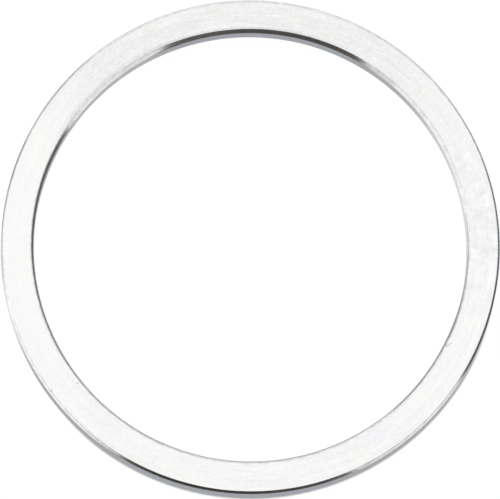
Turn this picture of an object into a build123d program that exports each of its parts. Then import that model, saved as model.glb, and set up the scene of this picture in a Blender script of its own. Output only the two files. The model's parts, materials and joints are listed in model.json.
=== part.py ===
from build123d import *
import math
import os

# Shim ring: a flat steel spacer ring, turned from bar and ground on both faces.
# It drops into a bearing seat and sets the gap between the bearing's outer race and the
# shoulder behind it.  Millimetres; the ring lies on Z = 0 with its axis along +Z.

# Driving dimensions
outer_diameter = 51.8  # passes into a 52 mm bearing seat
rim_width = 3.4        # radial width of the rim, which covers the outer race's land
thickness = 3.4        # the gap that the ring sets
bore_break = 0.42      # width of the edge break round the bore, on both faces
rim_break = 0.27       # width of the finer edge break round the outside, on both faces
break_angle = 40.0     # degrees between a face and its edge breaks
tumble_radius = 0.05   # what tumbling leaves on the corners of each edge break

# Sizes that follow from them
outer_radius = outer_diameter / 2
bore_radius = outer_radius - rim_width
bore_drop = bore_break * math.tan(math.radians(break_angle))
rim_drop = rim_break * math.tan(math.radians(break_angle))

os.makedirs("parts", exist_ok=True)

with BuildPart() as shim_ring:
    # The rim's cross-section stands in the XZ plane, outside the axis
    with BuildSketch(Plane.XZ) as section:
        with BuildLine():
            Polyline(
                (bore_radius, bore_drop),
                (bore_radius, thickness - bore_drop),
                (bore_radius + bore_break, thickness),
                (outer_radius - rim_break, thickness),
                (outer_radius, thickness - rim_drop),
                (outer_radius, rim_drop),
                (outer_radius - rim_break, 0),
                (bore_radius + bore_break, 0),
                close=True,
            )
        make_face()
        # Tumbling softens the eight corners that the breaks leave
        fillet(section.vertices(), radius=tumble_radius)
    revolve(axis=Axis.Z)

shim_ring.part.label = "shim_ring"
export_step(shim_ring.part, "parts/shim_ring.step")
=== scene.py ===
import json
import math

import bmesh
import bpy
from mathutils import Matrix, Vector


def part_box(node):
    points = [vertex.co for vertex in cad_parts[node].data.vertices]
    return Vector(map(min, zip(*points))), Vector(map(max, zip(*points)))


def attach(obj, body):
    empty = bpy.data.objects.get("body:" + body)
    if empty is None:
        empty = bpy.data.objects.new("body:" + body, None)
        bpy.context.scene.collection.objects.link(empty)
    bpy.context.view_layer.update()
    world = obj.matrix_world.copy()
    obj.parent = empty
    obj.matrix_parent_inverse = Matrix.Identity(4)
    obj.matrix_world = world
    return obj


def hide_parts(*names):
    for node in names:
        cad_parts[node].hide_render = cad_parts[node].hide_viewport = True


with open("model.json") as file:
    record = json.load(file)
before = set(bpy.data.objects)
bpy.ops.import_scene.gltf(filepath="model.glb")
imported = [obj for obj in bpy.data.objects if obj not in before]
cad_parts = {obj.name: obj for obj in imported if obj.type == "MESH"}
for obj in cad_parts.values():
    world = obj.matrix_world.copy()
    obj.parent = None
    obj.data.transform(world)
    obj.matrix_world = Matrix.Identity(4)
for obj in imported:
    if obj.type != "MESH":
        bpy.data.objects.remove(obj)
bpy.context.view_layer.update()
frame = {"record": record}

# ---------------------------------------------------------------------------------------------
# Shim ring
# The whole object: one flat ring of hard steel, turned from bar and ground on both faces.  The
# edges are broken with a tool and tumbled.  It lies loose, with nothing fixed to it.
# ---------------------------------------------------------------------------------------------

MM = 0.001

mounts = {mount["name"]: mount["dims"] for mount in frame["record"]["mounts"]}
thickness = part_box("shim_ring")[1].z
# The broken bore edge sits a hair inside the bore's nominal radius.
bore_radius = mounts["bore"]["r_mm"] * MM - 0.025 * MM
rim_radius = mounts["rim"]["r_mm"] * MM

bore_break_width = 0.42 * MM
rim_break_width = 0.275 * MM
# A break is slightly crowned: it faces from break_low to break_high above level.
break_low = math.radians(47)
break_high = math.radians(55)
bore_corner = 0.18 * MM
rim_corner = 0.14 * MM
face_corner = 0.03 * MM
# A corner takes its dark colour, partly painted shade, from the wall up to where it faces dull_end
# above level.
dull_end = math.radians(41)
# The share of a break's crown, next to the face, that a line of its own takes; it is lighter or
# darker than the break only in stretches of painted light and shade.
line_share = 0.3

# The nick runs from the bore edge across the break and a little way over the face.
nick_line = [(20.10, -10.22), (20.38, -10.42), (20.56, -10.27), (20.72, -10.13), (20.90, -10.09)]
nick_width = 0.07 * MM
nick_depth = 0.06 * MM
# Each pit is the angle round the ring in degrees, then radius, size and depth in millimetres.
pits = [(218.68, 23.00, 0.12, 0.06), (212.63, 25.60, 0.10, 0.05), (213.41, 25.62, 0.09, 0.05),
        (216.37, 25.60, 0.12, 0.06)]
# Where the nick and the pits lie, as the angle round the ring and the reach to each side of it.
marked = [(333.4, 1.8)] + [(pit[0], 0.5) for pit in pits]


def arc_rise(radius, start, end, steps):
    """Steps along a small arc, as (inward, upward), while its normal tips from start to end."""
    out = []
    for step in range(1, steps + 1):
        now = start + (end - start) * step / steps
        out.append((radius * (math.cos(start) - math.cos(now)),
                    radius * (math.sin(now) - math.sin(start))))
    return out


def broken_edge(width, corner, finish, steps):
    """From the wall (0, 0) over the crowned break to the face, as (inward, upward, finish)."""
    crown = width - corner * (1 - math.cos(break_low)) - face_corner * math.cos(break_high)
    crown = crown / (math.cos(break_low) - math.cos(break_high))
    line_start = break_high - (break_high - break_low) * line_share
    points = [(0.0, 0.0, "wall")]
    for radius, start, end, name in ((corner, 0, dull_end, finish + " corner"),
                                     (corner, dull_end, break_low, finish),
                                     (crown, break_low, line_start, finish),
                                     (crown, line_start, break_high, finish + " line"),
                                     (face_corner, break_high, math.radians(90), finish + " line")):
        x, y, _ = points[-1]
        for dx, dy in arc_rise(radius, start, end, steps):
            points.append((x + dx, y + dy, name))
    return points


def spread(start, end, pitch):
    """Even stops between two numbers, both ends left out."""
    count = max(1, round(abs(end - start) / pitch))
    return [start + (end - start) * i / count for i in range(1, count)]


def ring_section():
    """The ring's cross-section as a closed loop of (radius, height, finish), bore wall first."""
    loop = []
    bore_edge = broken_edge(bore_break_width, bore_corner, "bore break", 5)
    rim_edge = broken_edge(rim_break_width, rim_corner, "rim break", 5)
    low_bore_edge = broken_edge(bore_break_width, bore_corner, "bore break", 2)
    low_rim_edge = broken_edge(rim_break_width, rim_corner, "rim break", 2)
    bore_break_height = bore_edge[-1][1]
    rim_break_height = rim_edge[-1][1]
    top = thickness
    bore_face = bore_radius + bore_break_width
    rim_face = rim_radius - rim_break_width
    fine = 0.05 * MM
    for z in spread(bore_break_height, top - bore_break_height, 0.6 * MM):
        loop.append((bore_radius, z, "wall"))
    loop += [(bore_radius + x, top - bore_break_height + y, name) for x, y, name in bore_edge]
    face_stops = spread(bore_face, bore_face + 9 * fine, fine) + [bore_face + 9 * fine]
    face_stops += spread(bore_face + 9 * fine, rim_face - 5 * fine, 0.2 * MM)
    face_stops += [rim_face - 5 * fine] + spread(rim_face - 5 * fine, rim_face, fine)
    loop += [(r, top, "face") for r in face_stops]
    loop += [(rim_radius - x, top - rim_break_height + y, name)
             for x, y, name in reversed(rim_edge)]
    for z in spread(top - rim_break_height, rim_break_height, 0.6 * MM):
        loop.append((rim_radius, z, "wall"))
    loop += [(rim_radius - x, rim_break_height - y, name) for x, y, name in low_rim_edge]
    loop += [(r, 0.0, "face") for r in spread(rim_face, bore_face, 0.4 * MM)]
    loop += [(bore_radius + x, bore_break_height - y, name)
             for x, y, name in reversed(low_bore_edge)]
    return loop


def stops_round():
    """Angles round the ring in degrees: half a degree apart, and closer at the nick and pits."""
    stops = {round(i * 0.5, 3) for i in range(720)}
    for centre, reach in marked:
        start = round(centre - reach, 1)
        stops |= {round(start + i * 0.1, 3) for i in range(int(reach * 20) + 1)}
    return sorted(stops)


def gap_to_line(x, y, line):
    """Distance from a point to a line of several runs, all in metres."""
    best = 1.0
    here = Vector((x, y))
    for start, end in zip(line, line[1:]):
        run = end - start
        along = max(0.0, min(1.0, (here - start).dot(run) / run.length_squared))
        best = min(best, (here - start - run * along).length)
    return best


def dent_depth(x, y):
    """How far the nick or a pit lowers the upper face at this place."""
    depth = nick_depth * math.exp(-(gap_to_line(x, y, nick_path) / nick_width) ** 2 * 2)
    for angle, radius, size, deep in pits:
        px = radius * MM * math.cos(math.radians(angle))
        py = radius * MM * math.sin(math.radians(angle))
        gap = math.hypot(x - px, y - py)
        depth = max(depth, deep * MM * math.exp(-(gap / (size * MM)) ** 2 * 2))
    return depth if depth > 0.001 * MM else 0.0


# A dent turns darker and rougher from this depth.
dent_edge = 0.012 * MM
nick_path = [Vector(point) * MM for point in nick_line]
# Where two finishes meet, the quad takes the one that comes first here.
finish_order = ["dent", "face", "bore break line", "rim break line", "bore break", "rim break",
                "bore break corner", "rim break corner", "wall"]
section = ring_section()
finishes = [finish_order.index(name) for _, _, name in section]
angles = stops_round()
ring_mesh = bpy.data.meshes.new("shim_ring_steel")
build = bmesh.new()
rows, drops = [], []
for angle in angles:
    c, s = math.cos(math.radians(angle)), math.sin(math.radians(angle))
    near_mark = any(abs(angle - centre) < reach + 0.5 for centre, reach in marked)
    row, row_drops = [], []
    for r, z, _ in section:
        drop = dent_depth(r * c, r * s) if near_mark and z > thickness / 2 + MM else 0.0
        row.append(build.verts.new((r * c, r * s, z - drop)))
        row_drops.append(drop)
    rows.append(row)
    drops.append(row_drops)
count = len(section)
for i, row in enumerate(rows):
    h = (i + 1) % len(rows)
    onward = rows[h]
    for j in range(count):
        k = (j + 1) % count
        quad = build.faces.new((row[j], onward[j], onward[k], row[k]))
        quad.smooth = True
        quad.material_index = min(finishes[j], finishes[k])
        if min(drops[i][j], drops[h][j], drops[i][k], drops[h][k]) > dent_edge:
            quad.material_index = 0
bmesh.ops.recalc_face_normals(build, faces=build.faces)
build.to_mesh(ring_mesh)
build.free()
ring = bpy.data.objects.new("shim_ring_steel", ring_mesh)
bpy.context.scene.collection.objects.link(ring)


def put(tree, kind, values=None, **settings):
    """Adds one node, with its settings and the plain values of its inputs."""
    node = tree.nodes.new(kind)
    for name, value in settings.items():
        setattr(node, name, value)
    for name, value in (values or {}).items():
        node.inputs[name].default_value = value
    return node


def new_group(name, inputs, outputs):
    """A shared effect, with its named inputs and outputs."""
    tree = bpy.data.node_groups.new(name, "ShaderNodeTree")
    for label, value in inputs.items():
        tree.interface.new_socket(label, in_out="INPUT", socket_type="NodeSocketFloat")
        tree.interface.items_tree[label].default_value = value
    for label in outputs:
        tree.interface.new_socket(label, in_out="OUTPUT", socket_type="NodeSocketFloat")
    return tree, put(tree, "NodeGroupInput"), put(tree, "NodeGroupOutput")


def lay_group():
    """Fine lines that a tool leaves round the ring.  Rows is how close they lie, and Run is how
    soon each one changes on its way round.  Turned about, the same noise gives short radial wipes."""
    tree, given, made = new_group("turned_lay", {"Rows": 9000.0, "Run": 6.0, "Seed": 0.0}, ["Line"])
    place = put(tree, "ShaderNodeTexCoord")
    split = put(tree, "ShaderNodeSeparateXYZ")
    flat = put(tree, "ShaderNodeVectorMath", {1: (1, 1, 0)}, operation="MULTIPLY")
    radius = put(tree, "ShaderNodeVectorMath", operation="LENGTH")
    way = put(tree, "ShaderNodeVectorMath", operation="NORMALIZE")
    round_way = put(tree, "ShaderNodeVectorMath", operation="SCALE")
    across = put(tree, "ShaderNodeMath", operation="MULTIPLY")
    upright = put(tree, "ShaderNodeMath", operation="MULTIPLY")
    seeded = put(tree, "ShaderNodeMath", operation="ADD")
    lift = put(tree, "ShaderNodeCombineXYZ")
    both = put(tree, "ShaderNodeVectorMath", operation="ADD")
    noise = put(tree, "ShaderNodeTexNoise", {"Scale": 1.0, "Detail": 3.0, "Roughness": 0.6},
                noise_dimensions="4D")
    link = tree.links.new
    link(place.outputs["Object"], flat.inputs[0])
    link(place.outputs["Object"], split.inputs[0])
    link(flat.outputs["Vector"], radius.inputs[0])
    link(flat.outputs["Vector"], way.inputs[0])
    link(way.outputs["Vector"], round_way.inputs[0])
    link(given.outputs["Run"], round_way.inputs["Scale"])
    link(radius.outputs["Value"], across.inputs[0])
    link(given.outputs["Rows"], across.inputs[1])
    link(across.outputs[0], lift.inputs["Z"])
    link(round_way.outputs["Vector"], both.inputs[0])
    link(lift.outputs["Vector"], both.inputs[1])
    link(split.outputs["Z"], upright.inputs[0])
    link(given.outputs["Rows"], upright.inputs[1])
    link(upright.outputs[0], seeded.inputs[0])
    link(given.outputs["Seed"], seeded.inputs[1])
    link(both.outputs["Vector"], noise.inputs["Vector"])
    link(seeded.outputs[0], noise.inputs["W"])
    link(noise.outputs["Fac"], made.inputs["Line"])
    return tree


def mottle_group():
    """The soft cloudy dulling that oil and handling leave on bare steel."""
    tree, given, made = new_group("handling_mottle", {"Scale": 600.0, "Seed": 0.0, "Detail": 4.0},
                                  ["Cloud"])
    place = put(tree, "ShaderNodeTexCoord")
    noise = put(tree, "ShaderNodeTexNoise", {"Roughness": 0.65}, noise_dimensions="4D")
    ease = put(tree, "ShaderNodeMapRange", {"From Min": 0.3, "From Max": 0.7})
    tree.links.new(place.outputs["Object"], noise.inputs["Vector"])
    tree.links.new(given.outputs["Scale"], noise.inputs["Scale"])
    tree.links.new(given.outputs["Seed"], noise.inputs["W"])
    tree.links.new(given.outputs["Detail"], noise.inputs["Detail"])
    tree.links.new(noise.outputs["Fac"], ease.inputs["Value"])
    tree.links.new(ease.outputs["Result"], made.inputs["Cloud"])
    return tree


def stretch_group():
    """A stretch of the ring: 1 round the angle Turn, out to Full on both sides, and 0 past Fade.
    All three are in degrees."""
    tree, given, made = new_group("stretch_round", {"Turn": 0.0, "Full": 20.0, "Fade": 40.0},
                                  ["Mask"])
    place = put(tree, "ShaderNodeTexCoord")
    flat = put(tree, "ShaderNodeVectorMath", {1: (1, 1, 0)}, operation="MULTIPLY")
    way = put(tree, "ShaderNodeVectorMath", operation="NORMALIZE")
    turn = put(tree, "ShaderNodeMath", operation="RADIANS")
    east = put(tree, "ShaderNodeMath", operation="COSINE")
    north = put(tree, "ShaderNodeMath", operation="SINE")
    middle = put(tree, "ShaderNodeCombineXYZ")
    likeness = put(tree, "ShaderNodeVectorMath", operation="DOT_PRODUCT")
    angle = put(tree, "ShaderNodeMath", operation="ARCCOSINE")
    degrees = put(tree, "ShaderNodeMath", operation="DEGREES")
    mask = put(tree, "ShaderNodeMapRange", {"To Min": 1.0, "To Max": 0.0},
               interpolation_type="SMOOTHSTEP")
    link = tree.links.new
    link(place.outputs["Object"], flat.inputs[0])
    link(flat.outputs["Vector"], way.inputs[0])
    link(given.outputs["Turn"], turn.inputs[0])
    link(turn.outputs[0], east.inputs[0])
    link(turn.outputs[0], north.inputs[0])
    link(east.outputs[0], middle.inputs["X"])
    link(north.outputs[0], middle.inputs["Y"])
    link(way.outputs["Vector"], likeness.inputs[0])
    link(middle.outputs["Vector"], likeness.inputs[1])
    link(likeness.outputs["Value"], angle.inputs[0])
    link(angle.outputs[0], degrees.inputs[0])
    link(degrees.outputs[0], mask.inputs["Value"])
    link(given.outputs["Full"], mask.inputs["From Min"])
    link(given.outputs["Fade"], mask.inputs["From Max"])
    link(mask.outputs["Result"], made.inputs["Mask"])
    return tree


turned_lay = lay_group()
handling_mottle = mottle_group()
stretch_round = stretch_group()


def shared(tree, group, **values):
    """One use of a shared effect, with its own values."""
    node = put(tree, "ShaderNodeGroup", node_tree=group)
    for name, value in values.items():
        node.inputs[name].default_value = value
    return node.outputs[0]


def added(tree, base, amount, mask):
    """A value with a share of a mask added to it."""
    node = put(tree, "ShaderNodeMath", {1: amount}, operation="MULTIPLY_ADD")
    tree.links.new(mask, node.inputs[0])
    if isinstance(base, float):
        node.inputs[2].default_value = base
    else:
        tree.links.new(base, node.inputs[2])
    return node.outputs[0]


def product(tree, first, second):
    """Two values multiplied."""
    node = put(tree, "ShaderNodeMath", operation="MULTIPLY")
    tree.links.new(first, node.inputs[0])
    tree.links.new(second, node.inputs[1])
    return node.outputs[0]


def grey(level):
    """A neutral colour."""
    return (level, level, level)


def steel(name, light, dark, cut, painted_light_and_shade=()):
    """One finish of the ring's steel, between a light and a dark colour.  Cut holds what its lay
    and mottle are like.  Each given stretch (turn, full, fade, gain) is painted light, lighter by
    its gain, or painted shade, darker where the gain is below 0."""
    material = bpy.data.materials.new(name)
    material.use_nodes = True
    tree = material.node_tree
    link = tree.links.new
    shader = tree.nodes["Principled BSDF"]
    shader.inputs["Metallic"].default_value = 1.0
    shader.inputs["Specular Tint"].default_value = (*cut["edge_tint"], 1)
    lines = shared(tree, turned_lay, Rows=cut["rows"], Run=cut["run"], Seed=cut["seed"])
    cloud = shared(tree, handling_mottle, Scale=cut["mottle"], Seed=cut["seed"] + 2.0)
    total = put(tree, "ShaderNodeMath", {1: 0.5}, operation="MULTIPLY_ADD")
    tone = put(tree, "ShaderNodeValToRGB")
    tone.color_ramp.elements[0].color = (*light, 1)
    tone.color_ramp.elements[0].position = 0.5 - cut["blend"]
    tone.color_ramp.elements[1].color = (*dark, 1)
    tone.color_ramp.elements[1].position = 0.5 + cut["blend"]
    link(cloud, total.inputs[0])
    link(added(tree, 0.0, 0.5, lines), total.inputs[2])
    link(total.outputs[0], tone.inputs["Fac"])
    colour = tone.outputs["Color"]
    # Painted light and shade: each stretch lightens or darkens the colour where the steel mirrors a
    # lamp or a dark card.
    for turn, full, fade, gain in painted_light_and_shade:
        share = put(tree, "ShaderNodeVectorMath", {1: gain, 2: (1, 1, 1)}, operation="MULTIPLY_ADD")
        lifted = put(tree, "ShaderNodeVectorMath", operation="MULTIPLY")
        link(shared(tree, stretch_round, Turn=turn, Full=full, Fade=fade), share.inputs[0])
        link(colour, lifted.inputs[0])
        link(share.outputs["Vector"], lifted.inputs[1])
        colour = lifted.outputs["Vector"]
    link(colour, shader.inputs["Base Color"])
    rough = put(tree, "ShaderNodeMapRange", {"To Min": cut["smooth"], "To Max": cut["rough"]})
    link(total.outputs[0], rough.inputs["Value"])
    link(rough.outputs["Result"], shader.inputs["Roughness"])
    height = put(tree, "ShaderNodeBump", {"Distance": cut["relief"], "Strength": 1.0})
    link(lines, height.inputs["Height"])
    link(height.outputs["Normal"], shader.inputs["Normal"])
    return material


# How light the ground face is, how strongly its lay, grain and wipes show, and its roughness.
face_level = 0.925
face_lay = 0.18
face_grain = 0.21
face_wipes = 0.38
face_smooth = 0.25
face_rough = 0.31
# Stretches of the face that are lighter or darker, as (turn, full, fade, gain).
face_bright = (181.0, 18.0, 52.0, 0.026)
face_dull = (92.0, 34.0, 64.0, -0.046)
face_greyed = (12.0, 6.0, 24.0, -0.012)
face_lighter = (336.0, 18.0, 32.0, 0.012)
# Stretches that are wiped, worn in streaks by the bore, and darkened along the bore's break by
# painted shade, as (turn, full, fade).
wiped_stretch = (6.0, 9.0, 34.0)
worn_stretch = (130.0, 12.0, 28.0)
edge_shade_stretch = (90.0, 12.0, 32.0)
# How far from the bore's break the worn streaks and the painted shade reach, how light and dark
# the streaks are, and what the painted shade takes off.
worn_width = 0.45 * MM
edge_shade_width = 0.25 * MM
worn_lightest = 0.17
worn_range = 0.6
edge_shade_loss = 0.2


def face_steel():
    """The ground face.  It is lighter on the left and darker on the far side, has short wipes across
    it on the right, has painted shade along the bore's break on the far side, and shows its grain
    least where it is bright."""
    material = bpy.data.materials.new("ground_face")
    material.use_nodes = True
    tree = material.node_tree
    link = tree.links.new
    shader = tree.nodes["Principled BSDF"]
    shader.inputs["Metallic"].default_value = 1.0
    place = put(tree, "ShaderNodeTexCoord")
    flat = put(tree, "ShaderNodeVectorMath", {1: (1, 1, 0)}, operation="MULTIPLY")
    radius = put(tree, "ShaderNodeVectorMath", operation="LENGTH")
    link(place.outputs["Object"], flat.inputs[0])
    link(flat.outputs["Vector"], radius.inputs[0])

    def stretch(turn, full, fade):
        """The mask of one stretch of the face."""
        return shared(tree, stretch_round, Turn=turn, Full=full, Fade=fade)

    def by_bore(width, turn, full, fade):
        """1 at the bore's break, fading to 0 over a width, on one stretch of the face."""
        inner = bore_radius + bore_break_width
        near = put(tree, "ShaderNodeMapRange",
                   {"From Min": inner, "From Max": inner + width, "To Min": 1.0, "To Max": 0.0})
        link(radius.outputs["Value"], near.inputs["Value"])
        return product(tree, near.outputs["Result"], stretch(turn, full, fade))

    bright = stretch(*face_bright[:3])
    dull = stretch(*face_dull[:3])
    level = added(tree, added(tree, face_level, face_bright[3], bright), face_dull[3], dull)
    for turn, full, fade, gain in (face_greyed, face_lighter):
        level = added(tree, level, gain, stretch(turn, full, fade))
    # Painted shade: the face is darkened along the bore's break on the far side.
    level = added(tree, level, -edge_shade_loss, by_bore(edge_shade_width, *edge_shade_stretch))

    lay = shared(tree, turned_lay, Rows=2300.0, Run=5.0, Seed=0.0)
    grain = shared(tree, turned_lay, Rows=5500.0, Run=65.0, Seed=3.0)
    marks = added(tree, added(tree, -0.5 * (face_lay + face_grain), face_lay, lay), face_grain, grain)
    strength = added(tree, added(tree, 1.0, -0.5, bright), 0.5, dull)
    wipes = added(tree, -0.5 * face_wipes, face_wipes,
                  shared(tree, turned_lay, Rows=700.0, Run=26.0, Seed=4.0))
    wiped = product(tree, wipes, stretch(*wiped_stretch))
    streaks = added(tree, worn_lightest, -worn_range,
                    shared(tree, turned_lay, Rows=5000.0, Run=60.0, Seed=6.0))
    worn = product(tree, streaks, by_bore(worn_width, *worn_stretch))
    tone = put(tree, "ShaderNodeMath", operation="ADD")
    whole = put(tree, "ShaderNodeMath", operation="ADD")
    link(product(tree, marks, strength), tone.inputs[0])
    link(added(tree, wiped, 1.0, worn), tone.inputs[1])
    link(tone.outputs[0], whole.inputs[0])
    link(level, whole.inputs[1])

    stain = shared(tree, handling_mottle, Scale=340.0, Seed=8.0, Detail=1.5)
    tint = put(tree, "ShaderNodeVectorMath", {1: (0.016, 0.013, -0.035), 2: (0.992, 0.9935, 1.0175)},
               operation="MULTIPLY_ADD")
    colour = put(tree, "ShaderNodeVectorMath", operation="SCALE")
    link(stain, tint.inputs[0])
    link(tint.outputs["Vector"], colour.inputs[0])
    link(whole.outputs[0], colour.inputs["Scale"])
    link(colour.outputs["Vector"], shader.inputs["Base Color"])
    fine_lay = shared(tree, turned_lay, Rows=9000.0, Run=6.0, Seed=2.0)
    rough = put(tree, "ShaderNodeMapRange", {"To Min": face_smooth, "To Max": face_rough})
    link(fine_lay, rough.inputs["Value"])
    link(rough.outputs["Result"], shader.inputs["Roughness"])
    height = put(tree, "ShaderNodeBump", {"Distance": 0.002 * MM, "Strength": 1.0})
    link(fine_lay, height.inputs["Height"])
    link(height.outputs["Normal"], shader.inputs["Normal"])
    return material


ground_face = face_steel()
# What each way of cutting the steel leaves: the spacing and run of its lines, the size of its
# mottle, how softly light and dark blend, the range of roughness, and the relief.
tool_cut = {"rows": 6000.0, "run": 22.0, "seed": 5.0, "mottle": 1400.0, "blend": 0.16,
            "smooth": 0.12, "rough": 0.18, "relief": 0.0005 * MM, "edge_tint": grey(1.0)}
tumbled = {"rows": 14000.0, "run": 9.0, "seed": 5.0, "mottle": 800.0, "blend": 0.5,
           "smooth": 0.25, "rough": 0.35, "relief": 0.0005 * MM, "edge_tint": grey(0.6)}
# The satin cut's grey edge tint is partly painted shade, like the wall's grey colour.
satin_turned = {"rows": 12000.0, "run": 5.0, "seed": 9.0, "mottle": 900.0, "blend": 0.5,
                "smooth": 0.50, "rough": 0.60, "relief": 0.002 * MM,
                "edge_tint": (0.59, 0.60, 0.62)}
dented = {"rows": 14000.0, "run": 9.0, "seed": 5.0, "mottle": 800.0, "blend": 0.5,
          "smooth": 0.45, "rough": 0.60, "relief": 0.0005 * MM, "edge_tint": grey(0.8)}
# Each finish of the edges and walls, with the stretches of painted light and shade where it is
# lighter or darker.
bore_break = steel("bore_break", grey(1.0), grey(0.82), tool_cut,
                   [(331.0, 8.0, 20.0, grey(-0.2)), (224.0, 18.0, 34.0, grey(-0.2)),
                    (280.0, 28.0, 42.0, grey(-0.12)), (151.0, 5.0, 12.0, grey(-0.08))])
bore_line = steel("bore_line", grey(1.0), grey(0.82), tool_cut,
                  [(38.0, 10.0, 26.0, grey(-0.15)), (127.0, 14.0, 24.0, grey(-0.15)),
                   (151.0, 5.0, 12.0, grey(-0.12))])
# Painted shade: the rim's break has darker colours than the bore's, though both are cut alike.
rim_break = steel("rim_break", grey(0.86), grey(0.69), tool_cut,
                  [(200.0, 22.0, 50.0, grey(0.24)), (315.0, 10.0, 22.0, grey(0.12)),
                   (266.0, 14.0, 26.0, grey(-0.25))])
rim_line = steel("rim_line", grey(0.86), grey(0.69), tool_cut,
                 [(186.0, 10.0, 30.0, grey(0.15)), (214.0, 10.0, 26.0, grey(-0.04)),
                  (312.0, 12.0, 24.0, grey(-0.11))])
# Painted shade: the corners' dark colours stand for the ring's shadow on the table, which they
# mirror.  Painted highlights: stretches with large gains lift them where they mirror the lamps, and
# the rim corner's darker stretch on the near side is painted shade.
bore_corner_steel = steel("bore_corner", (0.165, 0.165, 0.17), (0.095, 0.095, 0.10), tumbled,
                          [(18.0, 32.0, 46.0, grey(6.0)), (131.0, 11.0, 17.0, grey(6.0)),
                           (181.0, 14.0, 30.0, grey(2.5))])
rim_corner_steel = steel("rim_corner", (0.165, 0.165, 0.17), (0.095, 0.095, 0.10), tumbled,
                         [(213.0, 17.0, 27.0, grey(6.0)), (312.0, 13.0, 20.0, grey(6.0)),
                          (8.0, 16.0, 38.0, grey(6.0)), (166.0, 14.0, 26.0, grey(6.0)),
                          (265.0, 20.0, 34.0, grey(-0.5))])
# Partly painted shade: the wall's grey colour stands for the ring's shadow on the table, which the
# wall mirrors; its satin turned lay is its own.  Painted light: each stretch lightens it, warmly,
# where it mirrors the lamps.
turned_wall = steel("turned_wall", (0.50, 0.515, 0.545), (0.43, 0.445, 0.475), satin_turned,
                    [(6.0, 10.0, 44.0, (0.84, 0.80, 0.72)), (42.0, 8.0, 20.0, (0.14, 0.11, 0.06)),
                     (187.0, 7.0, 27.0, (1.00, 0.96, 0.88)),
                     (135.0, 14.0, 28.0, (0.26, 0.20, 0.12)),
                     (222.0, 10.0, 24.0, (0.08, 0.03, -0.04)),
                     (313.0, 14.0, 26.0, (0.08, 0.03, -0.04))])
dent_steel = steel("dent_steel", grey(0.60), grey(0.48), dented)
# The same order as finish_order.
for finish in (dent_steel, ground_face, bore_line, rim_line, bore_break, rim_break,
               bore_corner_steel, rim_corner_steel, turned_wall):
    ring_mesh.materials.append(finish)

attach(ring, "root")
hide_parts("shim_ring")

# ---------------------------------------------------------------------------------------------
# Table
# A plain white sheet that the ring lies on, white to the eye and in the steel.  The lamp lights a
# share of it, so the ring's soft shadow stays on it.  A narrow darker strip along the near side
# stands for the close shadow under the ring's lower edge.
# ---------------------------------------------------------------------------------------------

table_radius = 1.0
# The sheet is a hair below the ring, so that the two don't share a surface.
table_drop = 0.01 * MM
# How much of the sheet's white the lamp lights, and how much it has by itself.
lit_share = 0.14
sheet_glow = 0.91
# What the close shadow takes from the sheet at the rim, and how far it reaches.
edge_shadow = 0.6
edge_shadow_width = 0.16 * MM


def white_to_eye_and_gloss(tree):
    """1 for what the camera sees, directly, in gloss or through glass, and 0 for soft light."""
    path = put(tree, "ShaderNodeLightPath")
    first = put(tree, "ShaderNodeMath", operation="MAXIMUM")
    second = put(tree, "ShaderNodeMath", operation="MAXIMUM")
    tree.links.new(path.outputs["Is Camera Ray"], first.inputs[0])
    tree.links.new(path.outputs["Is Glossy Ray"], first.inputs[1])
    tree.links.new(first.outputs[0], second.inputs[0])
    tree.links.new(path.outputs["Is Transmission Ray"], second.inputs[1])
    return second.outputs[0]


table_mesh = bpy.data.meshes.new("table")
build = bmesh.new()
bmesh.ops.create_circle(build, cap_ends=True, segments=128, radius=table_radius)
build.to_mesh(table_mesh)
build.free()
table = bpy.data.objects.new("table", table_mesh)
table.location.z = -table_drop
bpy.context.scene.collection.objects.link(table)
paper = bpy.data.materials.new("white_sheet")
paper.use_nodes = True
tree = paper.node_tree
link = tree.links.new
sheet = tree.nodes["Principled BSDF"]
sheet.inputs["Base Color"].default_value = (lit_share, lit_share, lit_share, 1)
sheet.inputs["Roughness"].default_value = 0.9
sheet.inputs["Specular IOR Level"].default_value = 0.0
sheet.inputs["Emission Color"].default_value = (1, 1, 1, 1)
glow = put(tree, "ShaderNodeMath", {1: sheet_glow}, operation="MULTIPLY")
spot = put(tree, "ShaderNodeTexCoord")
flat_spot = put(tree, "ShaderNodeVectorMath", {1: (1, 1, 0)}, operation="MULTIPLY")
outward = put(tree, "ShaderNodeVectorMath", operation="LENGTH")
past_rim = put(tree, "ShaderNodeMath", {1: rim_radius}, operation="SUBTRACT")
gap = put(tree, "ShaderNodeMath", operation="ABSOLUTE")
strip = put(tree, "ShaderNodeMapRange", {"From Max": edge_shadow_width, "To Min": 1.0, "To Max": 0.0})
near_side = shared(tree, stretch_round, Turn=282.0, Full=48.0, Fade=64.0)
link(spot.outputs["Object"], flat_spot.inputs[0])
link(flat_spot.outputs["Vector"], outward.inputs[0])
link(outward.outputs["Value"], past_rim.inputs[0])
link(past_rim.outputs[0], gap.inputs[0])
link(gap.outputs[0], strip.inputs["Value"])
unshaded = added(tree, 1.0, -edge_shadow, product(tree, strip.outputs["Result"], near_side))
link(white_to_eye_and_gloss(tree), glow.inputs[0])
link(product(tree, glow.outputs[0], unshaded), sheet.inputs["Emission Strength"])
table_mesh.materials.append(paper)

# ---------------------------------------------------------------------------------------------
# Cards
# Black and grey cards that stand round the table, as for any bright metal, so that the broken
# edges have something dark to show.  They stand out of the camera's way.
# ---------------------------------------------------------------------------------------------

card_radius = 0.8
# Each card stands this much behind the one before it in the list.
card_step = 0.005
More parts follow.
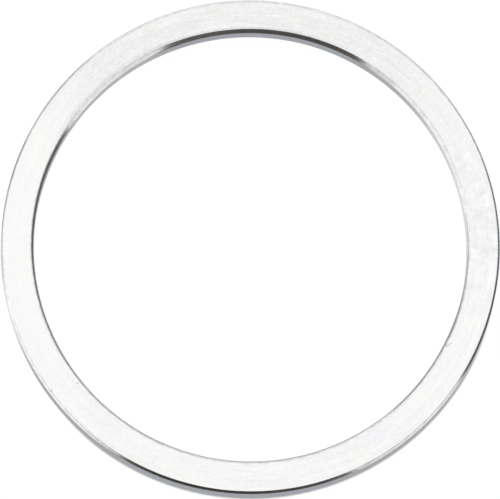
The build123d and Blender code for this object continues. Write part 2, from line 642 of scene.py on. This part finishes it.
# Name, from and to in degrees round the table, the height at each end, and the tone.
cards = [("card_front", 234.8, 276, 0.58, 0.58, (0.068, 0.060, 0.057)),
         ("card_front_end", 275, 299, 0.58, 0.58, (0.092, 0.083, 0.079)),
         ("card_front_left", 223, 234.4, 0.45, 0.45, grey(0.70)),
         ("card_front_far_left", 208, 222.6, 0.45, 0.45, grey(0.93)),
         ("card_front_faint", 190, 207.6, 0.45, 0.45, grey(0.94)),
         ("card_front_right", 301, 315, 0.45, 0.45, grey(0.76)),
         ("card_front_far_right", 315.4, 335, 0.45, 0.45, grey(0.86)),
         ("card_right", 335.5, 426, 0.305, 0.015, grey(0.07)),
         ("card_left", 124, 169, 0.065, 0.092, grey(0.05)),
         ("card_left_pale", 146, 180, 0.20, 0.20, grey(0.55))]


def stand_card(name, radius, start, end, start_height, end_height, tone):
    """A curved card of one tone on the table, seen in the steel but not by the camera.  Its upper
    edge eases from one height to the other."""
    mesh = bpy.data.meshes.new(name)
    steps = 24
    corners, panels = [], []
    for i in range(steps + 1):
        turn = math.radians(start + (end - start) * i / steps)
        x, y = radius * math.cos(turn), radius * math.sin(turn)
        height = start_height + (end_height - start_height) * (1 - math.cos(math.pi * i / steps)) / 2
        corners += [(x, y, 0.0), (x, y, height)]
    for i in range(steps):
        panels.append((2 * i, 2 * i + 2, 2 * i + 3, 2 * i + 1))
    mesh.from_pydata(corners, [], panels)
    card = bpy.data.objects.new(name, mesh)
    card.visible_camera = False
    bpy.context.scene.collection.objects.link(card)
    matt = bpy.data.materials.new(name)
    matt.use_nodes = True
    face = matt.node_tree.nodes["Principled BSDF"]
    face.inputs["Base Color"].default_value = (0, 0, 0, 1)
    face.inputs["Emission Color"].default_value = (*tone, 1)
    face.inputs["Emission Strength"].default_value = 1.0
    face.inputs["Roughness"].default_value = 1.0
    face.inputs["Specular IOR Level"].default_value = 0.0
    mesh.materials.append(matt)


for place, (card_name, *card_facts) in enumerate(cards):
    stand_card(card_name, card_radius + card_step * place, *card_facts)

# ---------------------------------------------------------------------------------------------
# Light
# A white room gives soft light from all round, and one wide soft lamp overhead adds a little.
# ---------------------------------------------------------------------------------------------

room_light = 0.9
lamp_size = 1.2
lamp_place = Vector((-0.35, 0.25, 1.3))
lamp_power = 1.5

room = bpy.data.worlds.new("white_room")
room.use_nodes = True
walls = room.node_tree.nodes["Background"]
walls.inputs["Color"].default_value = (1, 1, 1, 1)
level = put(room.node_tree, "ShaderNodeMath", {1: 1.0 - room_light, 2: room_light},
            operation="MULTIPLY_ADD")
room.node_tree.links.new(white_to_eye_and_gloss(room.node_tree), level.inputs[0])
room.node_tree.links.new(level.outputs[0], walls.inputs["Strength"])
bpy.context.scene.world = room

lamp_data = bpy.data.lights.new("soft_lamp", "AREA")
lamp_data.shape = "DISK"
lamp_data.size = lamp_size
lamp_data.energy = lamp_power
lamp = bpy.data.objects.new("soft_lamp", lamp_data)
lamp.location = lamp_place
lamp.visible_glossy = False
lamp.rotation_euler = lamp_place.to_track_quat("Z", "Y").to_euler()
bpy.context.scene.collection.objects.link(lamp)
bpy.context.scene.view_settings.view_transform = "Standard"

# ---------------------------------------------------------------------------------------------
# Camera
# A long lens looks almost straight down on the ring, from a little in front and to the left.
# ---------------------------------------------------------------------------------------------

camera_tilt = math.radians(8.883)
camera_turn = math.radians(-7.790)
camera_distance = 70 * rim_radius
aim = Vector((-0.00225 * rim_radius, -0.01266 * rim_radius, thickness))
lens = 1258.8

back = Vector((math.sin(camera_tilt) * math.sin(camera_turn),
               -math.sin(camera_tilt) * math.cos(camera_turn), math.cos(camera_tilt)))
side = (-back).cross(Vector((0, 1, 0))).normalized()
up = side.cross(-back)
camera_data = bpy.data.cameras.new("camera")
camera_data.lens = lens
camera = bpy.data.objects.new("camera", camera_data)
stand = aim + back * camera_distance
camera.matrix_world = Matrix([(side[i], up[i], back[i], stand[i]) for i in range(3)]
                             + [(0, 0, 0, 1)])
bpy.context.scene.collection.objects.link(camera)
bpy.context.scene.camera = camera
